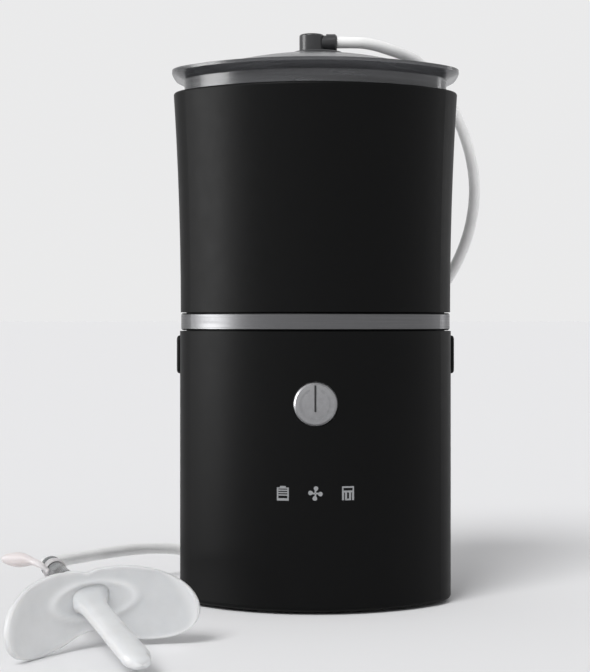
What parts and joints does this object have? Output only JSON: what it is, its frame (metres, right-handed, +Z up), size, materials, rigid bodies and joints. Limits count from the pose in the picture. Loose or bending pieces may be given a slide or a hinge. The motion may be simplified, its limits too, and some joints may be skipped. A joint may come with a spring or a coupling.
{
  "type": "sleep apnea therapy device",
  "caption": "Bedside suction console with a smoky saliva canister, satin band, power button, silicone tube and a winged mouthpiece.",
  "frame": {"origin": "centre of the console's footprint on the table, at the feet's underside", "axes": "+Z up, -Y towards the face with the power button, +X to the viewer's right"},
  "size_m": [0.1034, 0.1533, 0.1257],
  "materials": {
    "charcoal": "fine satin moulding",
    "black_plastic": "matte moulding",
    "satin_metal": "satin",
    "silver_button": "satin silver",
    "smoke_clear": "smoky translucent",
    "clear_plastic": "clear",
    "silicone": "translucent white silicone",
    "soft_tab": "milky silicone",
    "grey_plastic": "grey moulding",
    "black_rubber": "matte",
    "white_plastic": "matte",
    "light_guide": "diffusing",
    "steel": "plain",
    "board_green": "solder mask",
    "black_package": "epoxy",
    "pouch": "foil pouch",
    "felt": "absorbent fibre"
  },
  "bodies": {
    "console": {"lower_housing": "charcoal", "base_cover": "black_plastic", "rubber_feet": "black_rubber", "base_screws": "steel", "trim_band": "satin_metal", "upper_sleeve": "charcoal", "bay_deck": "black_plastic", "deck_screws": "steel", "port_seal": "black_rubber", "main_board": "board_green", "board_screws": "steel", "board_chips": "black_package", "power_switch": "black_package", "status_leds": "white_plastic", "icon_light_guides": "light_guide", "inner_chassis": "black_plastic", "battery_pack": "pouch", "motor_mount": "black_rubber", "pump_motor": "steel", "pump_head": "white_plastic", "pump_diaphragm": "black_rubber", "pump_valve_cover": "white_plastic", "vent_valve": "black_plastic", "suction_hose": "silicone", "vent_hose": "silicone", "pressure_sensor": "black_package", "charging_board": "board_green", "charging_socket": "steel", "release_spring_right": "steel", "release_spring_left": "steel", "tube_riser": "silicone", "tube_coil": "silicone", "tube_lead": "silicone", "lip_shield": "silicone", "tongue_paddle": "silicone", "stem_connector": "clear_plastic", "pull_tab": "soft_tab"},
    "power_button": {"power_button": "silver_button", "switch_plunger": "white_plastic"},
    "release_left": {"release_button_left": "charcoal"},
    "release_right": {"release_button_right": "charcoal"},
    "pump_crank": {"pump_crank": "steel"},
    "valve_pin": {"valve_pin": "steel"},
    "canister": {"canister_cup": "smoke_clear", "absorbent_pad": "felt", "filter_disc": "felt", "filter_cap": "white_plastic"},
    "lid": {"canister_lid": "smoke_clear", "lid_seal": "silicone", "tube_elbow": "grey_plastic"}
  },
  "joints": [
    {"name": "power_button_press", "type": "slide", "parent": "console", "child": "power_button", "axis": [0, 1, 0], "range_m": [0, 0.0008], "stiffness_N_per_m": 1200},
    {"name": "release_left_press", "type": "slide", "parent": "console", "child": "release_left", "axis": [1, 0, 0], "range_m": [0, 0.001], "stiffness_N_per_m": 1500, "deforming": ["release_spring_left"]},
    {"name": "release_right_press", "type": "slide", "parent": "console", "child": "release_right", "axis": [-1, 0, 0], "range_m": [0, 0.001], "stiffness_N_per_m": 1500, "deforming": ["release_spring_right"]},
    {"name": "pump_spin", "type": "hinge", "parent": "console", "child": "pump_crank", "pos_m": [-0.011, 0.004, 0.025], "axis": [0, 0, 1], "continuous": true},
    {"name": "valve_stroke", "type": "slide", "parent": "console", "child": "valve_pin", "axis": [0, 0, 1], "range_m": [0, 0.0008]},
    {"name": "canister_lift", "type": "slide", "parent": "console", "child": "canister", "axis": [0, 0, 1], "range_m": [0, 0.055], "deforming": ["tube_riser"]},
    {"name": "lid_lift", "type": "slide", "parent": "canister", "child": "lid", "axis": [0, 0, 1], "range_m": [0, 0.012]}
  ]
}
